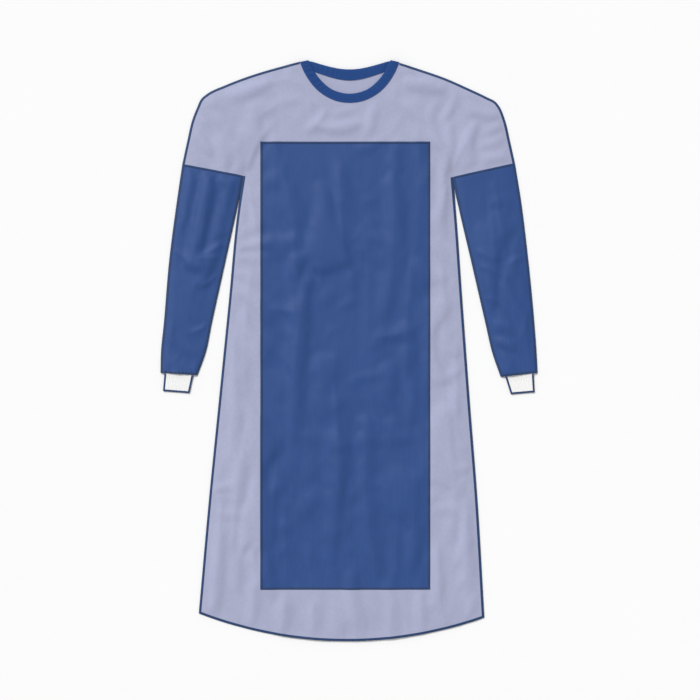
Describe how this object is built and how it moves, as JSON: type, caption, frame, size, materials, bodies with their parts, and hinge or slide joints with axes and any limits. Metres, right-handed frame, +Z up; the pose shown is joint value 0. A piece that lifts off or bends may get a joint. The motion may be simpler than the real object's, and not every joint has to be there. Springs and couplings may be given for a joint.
{
  "type": "surgical gown",
  "caption": "Long-sleeved reinforced surgical gown laid flat, front up, with a lapped back, bound neck, knit cuffs and a rectangular front reinforcement.",
  "frame": {"origin": "on the surface the gown lies on, under the middle of its box", "axes": "+Z up out of the front, +Y along the gown towards the neck, +X across it towards the sleeve on the viewer's right"},
  "size_m": [0.8445, 1.3015, 0.0075],
  "materials": {
    "body_cloth": "soft matt nonwoven",
    "barrier_cloth": "smooth laminated nonwoven, slight sheen",
    "binding_cloth": "matt nonwoven tape",
    "cuff_knit": "soft ribbed knit"
  },
  "bodies": {
    "root": {"front_panel": "body_cloth", "back_panel_left": "body_cloth", "back_panel_right": "body_cloth", "front_reinforcement": "barrier_cloth", "sleeve_left": "barrier_cloth", "sleeve_right": "barrier_cloth", "cuff_left": "cuff_knit", "cuff_right": "cuff_knit", "neck_binding_front": "binding_cloth", "neck_binding_back_left": "binding_cloth", "neck_binding_back_right": "binding_cloth", "neck_tie_left": "body_cloth", "neck_tie_right": "body_cloth", "waist_tie_left": "body_cloth", "waist_tie_right": "body_cloth"}
  },
  "joints": []
}
